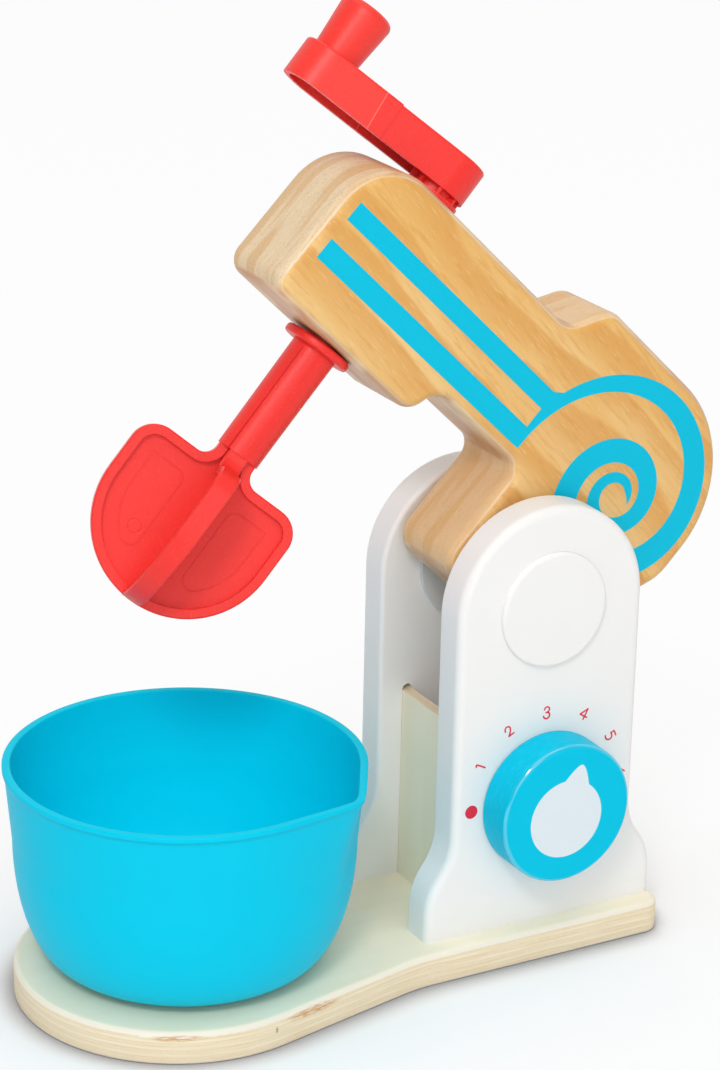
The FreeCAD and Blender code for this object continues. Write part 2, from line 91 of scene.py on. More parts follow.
class Finish:
    """One material, built node by node round its Principled shader."""

    def __init__(self, name, **values):
        self.material = bpy.data.materials.new(name)
        self.material.use_nodes = True
        self.tree = self.material.node_tree
        self.shader = self.tree.nodes["Principled BSDF"]
        self.give(**values)

    def _feed(self, socket, value):
        if isinstance(value, Wire):
            self.tree.links.new(value.socket, socket)
        elif isinstance(value, (tuple, list)) and socket.type == "RGBA":
            socket.default_value = (*value, 1)
        else:
            socket.default_value = value

    def give(self, **values):
        """Values or wires for the shader's own sockets, with _ for a space in a socket's name."""
        for key, value in values.items():
            self._feed(self.shader.inputs[key.replace("_", " ")], value)

    def add(self, kind, settings, *values, out=0, **named):
        """A node of that kind: its settings first, then its sockets in order, then those by name."""
        node = self.tree.nodes.new("ShaderNode" + kind)
        for key, value in settings.items():
            setattr(node, key, value)
        for socket, value in zip(node.inputs, values):
            self._feed(socket, value)
        for key, value in named.items():
            self._feed(node.inputs[key.replace("_", " ")], value)
        return Wire(self, node.outputs[out])

    def blend(self, share, first, second):
        """Colour that goes from first to second as share goes from 0 to 1."""
        node = self.tree.nodes.new("ShaderNodeMix")
        node.data_type = "RGBA"
        colour_sockets = node.inputs[0], node.inputs[6], node.inputs[7]
        for socket, value in zip(colour_sockets, (share, first, second)):
            self._feed(socket, value)
        return Wire(self, node.outputs[2])

    def place(self):
        """Where a point of the surface lies on the object, in metres."""
        return self.add("TexCoord", {}, out="Object")

    def facing(self, direction):
        """How squarely the surface faces direction, from -1 to 1."""
        normal = self.add("TexCoord", {}, out="Normal")
        return self.add("VectorMath", {"operation": "DOT_PRODUCT"}, normal, direction, out="Value")

    def parts(self, vector):
        """The three numbers of a vector."""
        return [self.add("SeparateXYZ", {}, vector, out=axis) for axis in "XYZ"]

    def stretched(self, vector, factors):
        """The vector with each part times its own factor."""
        return self.add("VectorMath", {"operation": "MULTIPLY"}, vector, factors)

    def spot(self, centre, radii):
        """1 round centre, falling to 0 at these radii along the three axes."""
        offset = self.add("VectorMath", {"operation": "SUBTRACT"}, self.place(), centre)
        scaled = self.stretched(offset, tuple(1 / radius for radius in radii))
        return 1 - self.add("VectorMath", {"operation": "LENGTH"}, scaled, out="Value").above(0.45, 1.0)

    def noise(self, vector, scale, detail=2.0, rough=0.5):
        """Cloudy noise from 0 to 1, scale blobs to a metre."""
        return self.add("TexNoise", {}, Vector=vector, Scale=scale, Detail=detail, Roughness=rough)

    def relief(self, height, depth):
        """Raises the surface by height, of depth metres at 1."""
        self.give(Normal=self.add("Bump", {}, Height=height, Distance=depth, Strength=1.0))


def wear(node, finish):
    """The CAD node takes this finish on its whole surface."""
    mesh = nodes[node].data
    mesh.materials.clear()
    mesh.materials.append(finish.material)


def sage_plywood(name, top, thickness, ply_count, up):
    """Plywood with sage faces: up is the direction that the sheet faces, and top the height of its face."""
    long_pale, long_brown = (0.92, 0.81, 0.60), (0.86, 0.71, 0.47)
    end_pale, end_brown = (0.86, 0.70, 0.46), (0.74, 0.56, 0.34)
    glue_brown, thin_paint_and_sheen = (0.52, 0.36, 0.19), (0.90, 0.84, 0.72)
    sage, pale_sage = (0.95, 0.85, 0.645), (0.97, 0.89, 0.70)
    end_strength, glue_strength, ply_wander = 0.38, 0.26, 0.30
    finish = Finish(name, Specular_IOR_Level=0.5)
    place = finish.place()
    height = finish.add("VectorMath", {"operation": "DOT_PRODUCT"}, place, up, out="Value")
    ply = thickness / ply_count
    wander = finish.noise(place, 18.0) * ply_wander * ply
    layer = ((top - height + wander) / (2 * ply)).fraction()
    cross = layer.above(0.44, 0.56) * (1 - layer.above(0.90, 1.0))
    glue = abs(abs(layer - 0.5) - 0.25).above(0.19, 0.25)
    along_ply = tuple(60 if axis == 0 else 1800 for axis in up)
    across_ply = tuple(500 if axis == 0 else 3000 for axis in up)
    lines = finish.noise(finish.stretched(place, along_ply), 1.0, 3.0)
    grain = finish.noise(finish.stretched(place, across_ply), 1.0, 2.0)
    long_ply = finish.blend(lines.above(0.35, 0.75), long_pale, long_brown)
    end_ply = finish.blend(grain.above(0.35, 0.7), end_pale, end_brown)
    edge = finish.blend(cross * end_strength, long_ply, end_ply)
    edge = finish.blend(glue * glue_strength, edge, glue_brown)
    brushed = finish.noise(finish.stretched(place, (9, 160, 9)), 1.0, 3.0)
    cloud = (0.5 * finish.noise(place, 35.0) + 0.5 * brushed).above(0.3, 0.7)
    paint = finish.blend(cloud, sage, pale_sage)
    upward = abs(finish.facing(up))
    # On the rounded-over corner the paint is thin, and its whitish colour there is partly a painted highlight
    # on the curve.
    rounded = finish.blend(upward.above(0.16, 0.34), edge, thin_paint_and_sheen)
    painted = upward.above(0.62, 0.88)
    finish.give(Base_Color=finish.blend(painted, rounded, paint), Roughness=0.46 + 0.12 * grain)
    finish.relief(lines * (1 - painted) + 0.3 * grain, 0.05 * MM)
    return finish


def lay_over(finish, share, colour):
    """Covers this share of what the finish shows with one colour."""
    shown = Wire(finish, finish.shader.inputs["Base Color"].links[0].from_socket)
    finish.give(Base_Color=finish.blend(share, shown, colour))


def streak(finish, centre, radii, colour, strength):
    """Lays one darker fleck of wood over what the finish shows: centre and radii are in millimetres."""
    fleck = finish.spot([x * MM for x in centre], [r * MM for r in radii])
    broken = finish.noise(finish.stretched(finish.place(), (300, 300, 1800)), 1.0, 2.0).above(0.30, 0.62)
    lay_over(finish, fleck * broken * strength, colour)


board_thick, board_plies = 12 * MM, 9
board_paint = sage_plywood("sage_board", board_thick, board_thick, board_plies, (0, 0, 1))
edge_marks = [  # centre and radii in millimetres, colour and strength of two brown flecks and a nick
    ((-84.5, -51.8, 9.9), (13, 8, 1.4), (0.62, 0.30, 0.09), 0.80),
    ((-34.0, -53.7, 9.3), (15, 8, 2.1), (0.60, 0.29, 0.09), 0.85),
    ((-49.8, -57.1, 7.2), (0.7, 3, 1.5), (0.20, 0.12, 0.06), 0.90)]
for centre, radii, colour, strength in edge_marks:
    streak(board_paint, centre, radii, colour, strength)
wear("base_board", board_paint)


# Base screws: four countersunk wood screws up through the board into the uprights, zinc plated.
# Fine turning marks and a dull bloom are all that plating shows at this size.
def plated_steel(name):
    """Plated steel: a grey that is dull and bright in turn, with fine turning marks."""
    dull, bright = (0.52, 0.52, 0.53), (0.66, 0.66, 0.65)
    finish = Finish(name, Metallic=1.0)
    place = finish.place()
    bloom = finish.noise(place, 260.0, 4.0)
    finish.give(Base_Color=finish.blend(bloom, dull, bright), Roughness=0.26 + 0.22 * bloom)
    finish.relief(finish.noise(place, 1800.0), 0.01 * MM)
    return finish


zinc = plated_steel("zinc_plate")
wear("base_screws", zinc)


# Uprights: two solid wooden planks with arched tops and flared feet, edges rounded over.
# They are sprayed with two coats of satin white, through which the grain just shows.
def white_lacquer(name):
    """Satin white over wood: the grain runs up the plank, and the spray leaves a fine peel."""
    thin_coat, full_coat = (0.87, 0.86, 0.84), (0.90, 0.89, 0.87)
    finish = Finish(name, Specular_IOR_Level=0.3)
    place = finish.place()
    cloud = finish.noise(place, 22.0, 3.0)
    grain = finish.noise(finish.stretched(place, (900, 900, 45)), 1.0, 3.0)
    peel = finish.noise(place, 900.0, 2.0)
    finish.give(Base_Color=finish.blend(cloud, thin_coat, full_coat), Roughness=0.36 + 0.12 * cloud)
    finish.relief(0.55 * grain + 0.45 * peel, 0.045 * MM)
    return finish


white = white_lacquer("white_lacquer")
for upright in ("near_upright", "far_upright"):
    wear(upright, white)


# Dial scale: a dot and the numbers 1 to 6, screen printed in red on the near upright.
# The film of ink is hardly thicker than the paint under it.
def turn_outwards(mesh):
    """Merges doubled corners and points every face out of its closed film."""
    work = bmesh.new()
    work.from_mesh(mesh)
    bmesh.ops.remove_doubles(work, verts=work.verts, dist=1e-7)
    bmesh.ops.dissolve_degenerate(work, edges=work.edges, dist=1e-7)
    bmesh.ops.recalc_face_normals(work, faces=work.faces)
    work.to_mesh(mesh)
    work.free()


def ribbon(name, left, right, lift, ink):
    """Closed film between two edges, given as points in metres; lift is its thickness as a vector.

    Its section is a loop of four corners, left, left lifted, right lifted and right, carried from
    the first pair of edge points to the last.
    """
    rings = np.stack([left, left + lift, right + lift, right], axis=1)
    count = len(rings)
    corner = np.arange(4)
    first = (np.arange(count - 1)[:, None] * 4 + corner).ravel()
    second = (np.arange(count - 1)[:, None] * 4 + (corner + 1) % 4).ravel()
    sides = np.stack([first, second, second + 4, first + 4], axis=1)
    ends = np.array([corner[::-1], (count - 1) * 4 + corner])
    mesh = bpy.data.meshes.new(name)
    mesh.from_pydata(rings.reshape(-1, 3).tolist(), [], np.vstack([sides, ends]).tolist())
    mesh.materials.append(ink.material)
    piece = bpy.data.objects.new(name, mesh)
    bpy.context.scene.collection.objects.link(piece)
    turn_outwards(mesh)
    return piece


def printing_ink(name, colour, darker):
    """Screen ink: one colour with darker specks, where the film is thin."""
    finish = Finish(name, Specular_IOR_Level=0.12)
    place = finish.place()
    speckle = finish.noise(place, 1500.0, 2.0)
    finish.give(Base_Color=finish.blend(speckle.above(0.3, 0.8), colour, darker),
                Roughness=0.36 + 0.1 * speckle)
    finish.relief(speckle, 0.008 * MM)
    return finish


ink_thick = 0.04 * MM
ink_lift = np.array([0, -ink_thick, 0])
upright_x = 68.5 * MM
near_face = -34.35 * MM
scale_z = 59.65 * MM
dot_reach, dot_angle, dot_radius = 30.4 * MM, 179.0, 2.5 * MM
number_reach, pen_width = 32.7, 0.60
stroke_rise = 0.1  # each later stroke is thicker by this share, so that no two tops share a plane
number_strokes = {  # bearing from the scale's centre in degrees, and the pen's corners in millimetres
    "1": (147.2, [[(-0.95, 1.15), (-0.62, 1.48), (-0.22, 1.5)], [(-0.22, 1.5), (0.03, 0.2), (0.28, -2.3)]]),
    "2": (119.4, [[(-1.25, 0.95), (-0.95, 1.75), (-0.15, 2.25), (0.7, 1.95),
                   (1.0, 1.1), (0.65, 0.15), (-0.1, -0.8), (-0.85, -1.5)],
                  [(-0.85, -1.5), (0.3, -1.55), (1.4, -1.6)]]),
    "3": (91.8, [[(-0.65, 1.45), (-0.35, 2.1), (0.35, 2.35), (1.15, 2.0), (1.4, 1.2), (0.9, 0.45),
                  (0.0, 0.25)],
                 [(0.0, 0.25), (0.95, 0.1), (1.45, -0.7), (1.25, -1.6), (0.4, -2.1), (-0.6, -1.8),
                  (-1.1, -0.95)]]),
    "4": (63.9, [[(1.2, 2.45), (0.2, 1.2), (-1.05, -0.2)], [(-1.05, -0.2), (0.6, -0.45), (2.2, -0.62)],
                 [(1.2, 2.45), (1.2, 0.4), (1.1, -1.65)]]),
    "5": (35.4, [[(1.6, 1.65), (0.6, 1.9), (-0.4, 1.95)], [(-0.4, 1.95), (-0.45, 1.3), (-0.6, 0.65)],
                 [(-0.6, 0.65), (0.35, 0.45), (1.1, -0.25), (1.15, -1.1), (0.55, -1.85), (-0.35, -2.1),
                  (-1.3, -1.7)]]),
    "6": (7.2, [[(0.7, 0.95), (-0.35, -0.15), (-0.95, -1.2), (-0.75, -2.3), (0.1, -2.85), (1.0, -2.4),
                 (1.1, -1.5), (0.4, -0.95), (-0.6, -1.2)]])}
red_ink = printing_ink("red_ink", (0.80, 0.035, 0.070), (0.74, 0.030, 0.060))


def on_dial_side(across, up, face, centre_z=scale_z):
    """Points at these distances from the scale's centre, on the plane y = face."""
    return np.stack([upright_x + across, np.full_like(across, face), centre_z + up], axis=1)


half_turn = np.linspace(0, math.pi, 40)
dot_x = dot_reach * math.cos(math.radians(dot_angle))
dot_z = dot_reach * math.sin(math.radians(dot_angle))
dot_rise = dot_z + dot_radius * np.cos(half_turn)
dot_edges = [on_dial_side(dot_x + side * dot_radius * np.sin(half_turn), dot_rise, near_face)
             for side in (-1, 1)]
scale_dot = ribbon("scale_dot", *dot_edges, ink_lift, red_ink)
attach(scale_dot, "stand")


def pen_line(corners, width, steps=10):
    """Left and right edges of a line drawn with a round pen through these corners.

    Between two corners the line is the cubic that passes both and has, at each, the mean slope
    of its neighbours. The half width near an end is the root of r squared less distance squared.
    """
    held = np.array([corners[0], *corners, corners[-1]], float)
    share = np.linspace(0, 1, steps, endpoint=False)[:, None]
    before, first, second, after = held[:-3, None], held[1:-2, None], held[2:-1, None], held[3:, None]
    middle = 0.5 * (2 * first + (second - before) * share
                    + (2 * before - 5 * first + 4 * second - after) * share ** 2
                    + (3 * first - before - 3 * second + after) * share ** 3)
    line = np.vstack([middle.reshape(-1, 2), held[-1]])
    way = np.gradient(line, axis=0)
    way /= np.linalg.norm(way, axis=1)[:, None]
    end_steps, radius = 8, width / 2
    end = np.sin(np.linspace(-math.pi / 2, 0, end_steps + 1))[:-1, None]
    line = np.vstack([line[0] + end * radius * way[0], line, line[-1] - end[::-1] * radius * way[-1]])
    way = np.vstack([np.repeat(way[:1], end_steps, axis=0), way, np.repeat(way[-1:], end_steps, axis=0)])
    rounded, straight = np.sqrt(1 - end ** 2), np.ones((len(way) - 2 * end_steps, 1))
    half = np.vstack([rounded, straight, rounded[::-1]]) * radius
    side = np.stack([-way[:, 1], way[:, 0]], axis=1) * half
    return line + side, line - side


for number, (angle, strokes) in number_strokes.items():
    bearing = math.radians(angle)
    outward = np.array([math.cos(bearing), math.sin(bearing)])
    rightward = np.array([math.sin(bearing), -math.cos(bearing)])
    for order, corners in enumerate(strokes):
        left, right = (MM * (number_reach * outward + edge @ np.array([rightward, outward]))
                       for edge in pen_line(corners, pen_width))
        piece = ribbon("scale_number_{}_{}".format(number, order + 1), on_dial_side(*left.T, near_face),
                       on_dial_side(*right.T, near_face), ink_lift * (1 + stroke_rise * order), red_ink)
        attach(piece, "stand")


# Panels: thin plywood slid into routed grooves between the uprights, sage on the faces.
# Their sawn top edge is raw.
panel_thick, panel_plies = 4 * MM, 3
panel_middles = {"front_panel": 42.7 * MM, "rear_panel": 94.3 * MM}
for panel, panel_x in panel_middles.items():
    wear(panel, sage_plywood("sage_" + panel, panel_x + panel_thick / 2, panel_thick, panel_plies, (1, 0, 0)))


# Spacers, caps and pivot: plastic discs keep the head off the uprights, and a bolt through the
# head clamps them. A white disc glued into each upright covers the bolt's end.
def moulded(name, colour, deeper, rough, shine=0.5, grain_size=1400.0, grain_depth=0.02 * MM):
    """Moulded plastic: an even colour that deepens in places, with a fine spark-eroded grain."""
    finish = Finish(name, Specular_IOR_Level=shine)
    place = finish.place()
    cloud = finish.noise(place, 30.0, 2.0)
    grain = finish.noise(place, grain_size, 3.0, 0.6)
    finish.give(Base_Color=finish.blend(cloud, colour, deeper), Roughness=rough - 0.05 + 0.14 * grain)
    finish.relief(grain, grain_depth)
    finish.grain = grain
    return finish


grey_moulding = moulded("grey_moulding", (0.70, 0.71, 0.72), (0.64, 0.65, 0.66), 0.45)
for piece in ("near_spacer", "far_spacer", "pivot_bush"):
    wear(piece, grey_moulding)
for cap in ("near_cap", "far_cap"):
    wear(cap, white)
for fastening in ("pivot_bolt", "pivot_washers", "pivot_nut"):
    wear(fastening, zinc)


# Head block: one piece of solid wood sawn to the mixer's outline, edges rounded over and clear
# lacquered. Its grain runs from the back to the nose, so end grain shows on the nose and the steps.
pivot_z = 131.6 * MM
head_raise = math.radians(44.1)
nose_ward = Vector((-math.cos(head_raise), 0, math.sin(head_raise)))
head_up = Vector((math.sin(head_raise), 0, math.cos(head_raise)))
pivot = Vector((upright_x, 0, pivot_z))


def lacquered_wood(name):
    """Clear lacquered softwood, sawn with its grain five degrees off the head's length.

    The rings are planes 17 mm apart that rise across the block and sway; the side shows them as long
    bands, the level faces as arches with heartwood between, and the ends as fine lines and pores.
    """
    side_pale, side_amber, side_band = (0.84, 0.55, 0.225), (0.79, 0.455, 0.140), (0.70, 0.335, 0.078)
    side_fibre, side_fleck = (0.66, 0.29, 0.060), (0.88, 0.62, 0.28)
    flat_pale, flat_band, flat_fibre = (0.80, 0.60, 0.38), (0.66, 0.38, 0.20), (0.56, 0.31, 0.15)
    heart_brown, neck_amber, edge_highlight_pale = (0.58, 0.29, 0.13), (0.78, 0.42, 0.13), (0.93, 0.80, 0.60)
    end_pale, end_band, end_line, end_pore = ((0.80, 0.63, 0.41), (0.72, 0.48, 0.25),
                                              (0.58, 0.33, 0.15), (0.42, 0.24, 0.12))
    ring_width, ring_rise, ring_sway = 17 * MM, 0.45, 0.045
    neck_start, neck_full = -85 * MM, -45 * MM
    finish = Finish(name, Specular_IOR_Level=0.3, Coat_Weight=0.10, Coat_Roughness=0.25)
    grain_turn = head_raise + math.radians(5)
    turn = Matrix.Rotation(-grain_turn, 3, "Y")
    level = finish.add("Mapping", {"vector_type": "POINT"}, finish.place(), tuple(-(turn @ pivot)),
                       (0, -grain_turn, 0), (1, 1, 1))
    back, across, up = finish.parts(level)
    sway = finish.noise(finish.stretched(level, (9, 12, 22)), 1.0, 1.5)
    ring = ((up + ring_rise * across + ring_sway * sway) / ring_width).fraction()
    band = ring.above(0.0, 0.80) * (1 - ring.above(0.88, 1.0))
    fibre = finish.noise(finish.stretched(level, (70, 620, 620)), 1.0, 4.0, 0.62)
    fleck = finish.noise(finish.stretched(level, (150, 1500, 1500)), 1.0, 2.0)
    cloud = finish.noise(finish.stretched(level, (10, 40, 60)), 1.0, 2.0)
    side = finish.blend(cloud.above(0.38, 0.62), side_pale, side_amber)
    side = finish.blend(band * 0.72, side, side_band)
    side = finish.blend(fibre.above(0.48, 0.72) * 0.48, side, side_fibre)
    side = finish.blend(fleck.above(0.56, 0.72) * 0.40, side, side_fleck)
    flat = finish.blend(band, flat_pale, flat_band)
    flat = finish.blend(0.35 * fibre.above(0.4, 0.7), flat, flat_fibre)
    heart = finish.noise(finish.stretched(level, (46, 75, 20)), 1.0, 1.0).above(0.46, 0.58)
    flat = finish.blend(0.60 * heart, flat, heart_brown)
    end_lines = finish.noise(finish.stretched(level, (150, 1900, 260)), 1.0, 4.0, 0.6)
    end_bands = finish.noise(finish.stretched(level, (6, 170, 14)), 1.0, 2.0)
    pores = finish.noise(level, 1300.0, 2.0)
    end = finish.blend(end_bands.above(0.42, 0.56), end_pale, end_band)
    end = finish.blend(0.30 * end_lines.above(0.35, 0.75), end, end_line)
    end = finish.blend(pores.above(0.52, 0.70) * 0.25, end, end_pore)
    end = finish.blend(back.above(neck_start, neck_full) * 0.45, end, neck_amber)
    level_face = abs(finish.facing(tuple(head_up))).above(0.46, 0.66)
    end_face = abs(finish.facing(tuple(nose_ward))).above(0.46, 0.66)
    surface = finish.blend(end_face, finish.blend(level_face, side, flat), end)
    # A pale line along the rounded corners of the near and far sides is a painted highlight.
    side_facing = abs(finish.facing((0, -1, 0)))
    edge_highlight_line = side_facing.above(0.66, 0.72) * (1 - side_facing.above(0.76, 0.84))
    surface = finish.blend(edge_highlight_line * 0.25, surface, edge_highlight_pale)
    finish.give(Base_Color=surface, Roughness=0.36 + 0.14 * fibre)
    finish.relief(0.6 * fibre + 0.4 * fleck, 0.03 * MM)
    return finish


wood = lacquered_wood("lacquered_wood")
wear("head_block", wood)


# Head print: two stripes run back from the nose into one spiral, screen printed in turquoise on
# the side that faces the dial. The spiral narrows evenly as it winds in.
blue_ink = printing_ink("blue_ink", (0.001, 0.53, 0.74), (0.001, 0.49, 0.70))
head_side = -18.0 * MM


def on_head_side(ahead, above):
    """Points this far in front of and above the pivot, in millimetres, on the head's near face."""
    flat = np.outer(ahead * MM, nose_ward) + np.outer(above * MM, head_up)
    return flat + np.array([upright_x, head_side, pivot_z])


def stripe(name, nose_end, back_end, low, high):
    """Straight band from one distance in front of the pivot to another, between two heights above it."""
    ahead = np.linspace(nose_end, back_end, 12)
    low_edge, high_edge = (on_head_side(ahead, np.full_like(ahead, height)) for height in (low, high))
    band = ribbon(name, low_edge, high_edge, ink_lift, blue_ink)
    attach(band, "head")


stripes_nose, stripes_back = 154.2, 45.8
upper_low, upper_high, lower_low, lower_high = 50.3, 57.6, 34.5, 42.3
stripe("upper_stripe", stripes_nose, stripes_back, upper_low, upper_high)
stripe("lower_stripe", stripes_nose, stripes_back, lower_low, lower_high)

spiral_centre = (-3.08, 46.03)
join_start, join_end, spiral_end, taper_turn = -0.24, 0.25, 15.6, 1.1
join_low, join_high = lower_low, 57.7
outer_rate, inner_rate = (3.892, -0.1042, -0.00159), (3.813, -0.1989, 0.00272)


def spiral_edge(turned, rate):
    """Distance from the spiral's centre is e to the power a + b t + c t squared, at angle t in radians."""
    reach = np.exp(rate[0] + rate[1] * turned + rate[2] * turned ** 2)
    return np.array(spiral_centre)[:, None] + reach * np.array([np.cos(turned), np.sin(turned)])


join = np.linspace(join_start, join_end, 16)
wound = np.linspace(join_end, spiral_end, 360)[1:]
taper = np.clip((wound - (spiral_end - taper_turn)) / taper_turn, 0, 1) ** 2
outer_side = spiral_edge(wound, outer_rate)
inner_side = spiral_edge(wound, inner_rate) * (1 - taper) + outer_side * taper
join_up = np.linspace(join_low, join_high, len(join))
outer_side = np.hstack([np.array([np.full_like(join_up, stripes_back), join_up]), outer_side])
inner_side = np.hstack([spiral_edge(join, inner_rate), inner_side])
spiral = ribbon("head_spiral", on_head_side(*inner_side[:, :-1]), on_head_side(*outer_side[:, :-1]),
                ink_lift, blue_ink)
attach(spiral, "head")


# Crank: one red moulding, an arm open underneath and ribbed, with a tapered knob at one end and a
# ribbed boss at the other. A journal below it turns in the head, and a mould line crosses the arm.
red_grain_depth = 0.05 * MM


def red_moulding(name):
    """Red plastic with a coarse grain, which shows as paler specks."""
    red, deep_red, pale_red = (0.89, 0.027, 0.019), (0.85, 0.022, 0.016), (0.96, 0.085, 0.065)
    finish = moulded(name, red, deep_red, 0.38, 0.42, 1300.0, red_grain_depth)
    lay_over(finish, 0.28 * finish.grain.above(0.52, 0.70), pale_red)
    return finish


def measure(finish, direction, start=0.0):
    """Distance along direction, in metres from a plane at start."""
    return finish.add("VectorMath", {"operation": "DOT_PRODUCT"}, finish.place(), tuple(direction),
                      out="Value") - start


crank_red = red_moulding("crank_red")
mould_line_way, mould_line_start = (0.754, -0.394, -0.525), -149.81 * MM
past_line = measure(crank_red, mould_line_way, mould_line_start)
# Past the mould line the arm is painted a shade paler, as painted light; the line itself is drawn as a pale
# stripe.
lay_over(crank_red, 0.08 * (1 - past_line.above(-0.1 * MM, 0.1 * MM)), (0.96, 0.16, 0.10))
lay_over(crank_red, 0.40 * (1 - abs(past_line).above(0.08 * MM, 0.30 * MM)), (0.98, 0.30, 0.22))
wear("crank", crank_red)


# Drive rod: a square steel bar inside the head, which makes the crank turn the beater.
# It is pushed into a square socket at each end.
wear("drive_rod", zinc)


# Beater: a second red moulding, a collar and a tapered tube that carry two flat blades set
# crosswise. Each blade has a deep rim round a thin web, and two mould seams run down the tube.
beater_red = red_moulding("beater_red")
drive_lean = math.radians(2.8)
drive_back = -math.cos(drive_lean) * nose_ward + math.sin(drive_lean) * head_up
collar_middle = pivot + 121.1 * MM * nose_ward + 15.0 * MM * head_up
tube_foot, tube_head = -46.5 * MM, -3.0 * MM
seam_shadow_red, pin_shade_red = (0.45, 0.004, 0.010), (0.60, 0.008, 0.010)
tube_height = measure(beater_red, head_up, collar_middle.dot(head_up))
past_foot = tube_height.above(tube_foot, tube_foot + 0.5 * MM)
on_tube = past_foot * (1 - tube_height.above(tube_head - 0.5 * MM, tube_head))
# Beside each raised seam, on one side, a dark strip is painted: painted shadow that the seam casts on the
# tube.
for seam_angle, inner_side in ((-155, 1), (-15, -1)):
    bearing = math.radians(seam_angle)
    outward = math.cos(bearing) * drive_back + math.sin(bearing) * Vector((0, 1, 0))
    sideways = -math.sin(bearing) * drive_back + math.cos(bearing) * Vector((0, 1, 0))
    off_seam = inner_side * measure(beater_red, sideways, collar_middle.dot(sideways))
    this_side = measure(beater_red, outward, collar_middle.dot(outward)).above(0, 4 * MM)
    seam_shadow_line = off_seam.above(0.35 * MM, 0.50 * MM) * (1 - off_seam.above(0.80 * MM, 1.00 * MM))
    lay_over(beater_red, 0.65 * seam_shadow_line * this_side * on_tube, seam_shadow_red)
pin_mark, pin_radius = (-72.84 * MM, 5.0 * MM, 171.81 * MM), 2.4 * MM
pin_offset = beater_red.add("VectorMath", {"operation": "DISTANCE"}, beater_red.place(), pin_mark,
                            out="Value")
# The ejector pin's ring is pressed in, and its darker colour is painted shade in that shallow groove.
pin_ring = 1 - abs(pin_offset - pin_radius).above(0.10 * MM, 0.40 * MM)
lay_over(beater_red, 0.18 * pin_ring, pin_shade_red)
beater_red.relief(beater_red.grain - 1.2 * pin_ring, red_grain_depth)
wear("beater", beater_red)


# Dial: a turned wooden disc sprayed turquoise, glued to a dowel that turns in the near upright.
# A washer and a screw hold the dowel from inside.
def sprayed(name, colour, deeper, paler):
    """Gloss paint, thickest and shiniest where the front's edge is rounded, brushed round the side."""
    finish = Finish(name, Specular_IOR_Level=0.03, Coat_Roughness=0.07, Coat_IOR=2.0)
    place = finish.place()
    cloud = finish.noise(place, 40.0, 2.0)
    front = abs(finish.facing((0, -1, 0)))
    corner_shine = front.above(0.08, 0.35) * (1 - front.above(0.90, 0.995))
    brushed = finish.noise(finish.stretched(place, (260, 900, 260)), 1.0, 3.0)
    swept = finish.noise(finish.stretched(place, (500, 90, 500)), 1.0, 2.0)
    side = 1 - front.above(0.10, 0.5)
    bristle_marks = brushed.above(0.50, 0.72) * side * 0.30
    surface = finish.blend(bristle_marks, finish.blend(cloud, colour, deeper), paler)
    finish.give(Base_Color=surface, Coat_Weight=0.03 + 0.97 * corner_shine, Roughness=0.34 + 0.12 * cloud)
    finish.relief(side * (brushed + 0.6 * swept) + 0.1 * cloud, 0.10 * MM)
    return finish


wear("dial_knob", sprayed("dial_paint", (0.0, 0.57, 0.80), (0.0, 0.53, 0.76), (0.05, 0.66, 0.86)))
dowel = Finish("bare_dowel", Specular_IOR_Level=0.3)
dowel_fibre = dowel.noise(dowel.stretched(dowel.place(), (1500, 60, 1500)), 1.0, 4.0, 0.6)
dowel.give(Base_Color=dowel.blend(dowel_fibre, (0.78, 0.60, 0.38), (0.58, 0.40, 0.22)),
           Roughness=0.6 + 0.1 * dowel_fibre)
dowel.relief(dowel_fibre, 0.04 * MM)
wear("dial_spindle", dowel)
for fastening in ("dial_washer", "dial_screw"):
    wear(fastening, zinc)


# Dial pointer: a pale disc with one pointed ear, printed on the dial's front.
# It turns with the dial.
pale_ink = printing_ink("pale_ink", (0.74, 0.82, 0.86), (0.70, 0.79, 0.84))
dial_front = -49.35 * MM
dial_z = 59.35 * MM
disc_radius, disc_centre = 14.6, np.array([-0.4, -1.7])
ear_tip, ear_root, ear_half_width, ear_hollow = 20.6, 13.6, 5.15, 0.62
ear_way = np.array([0.286, 0.958])
ear_across = np.array([ear_way[1], -ear_way[0]])
root_angle = math.atan2(ear_half_width, ear_root)
rim = np.linspace(math.pi, root_angle, 60)
ear = 1 - np.linspace(1, 0, 24)[1:] ** 2
half_width = np.concatenate([disc_radius * np.sin(rim), ear_half_width * (1 - ear) ** ear_hollow])
height = np.concatenate([disc_radius * np.cos(rim), ear_root + (ear_tip - ear_root) * ear])
pointer_edges = [MM * (disc_centre[:, None] + np.outer(ear_way, height)
                       + np.outer(ear_across, side * half_width)) for side in (-1, 1)]
pointer = ribbon("dial_pointer", on_dial_side(*pointer_edges[0], dial_front, dial_z),
                 on_dial_side(*pointer_edges[1], dial_front, dial_z), ink_lift, pale_ink)
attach(pointer, "dial")


# Bowl: one turquoise moulding with a beaded rim, a pouring lip and a foot ring, loose on the
# board. The lip's two sides are tangent to the rim and fade into the wall below it.
bowl_x, bowl_seat = -56.5, 12.15
bowl_height, bowl_wall = 73.6, 2.4
rim_radius, wall_top_radius, side_radius, foot_radius = 62.8, 62.3, 59.7, 42.5
ring_radius, ring_height, curve_height = 37.5, 2.0, 44.0
lip_reach, lip_depth, lip_bearing = 7.0, 40.0, math.radians(-56.4)
lip_ease, tip_softness, tip_widening = 1.6, 0.045, 0.012


def curve_up(foot, side, low, high, steps):
    """Quarter ellipse from the foot's radius at low to the side's radius at high."""
    turn = np.linspace(0, math.pi / 2, steps)
    return np.array([foot + (side - foot) * np.sin(turn), high - (high - low) * np.cos(turn)])


def arc(around, back, radius, start, end, steps=6):
    """Arc about a centre, from one angle to another in degrees."""
    turn = np.radians(np.linspace(start, end, steps))
    return np.array([around + radius * np.cos(turn), back + radius * np.sin(turn)])


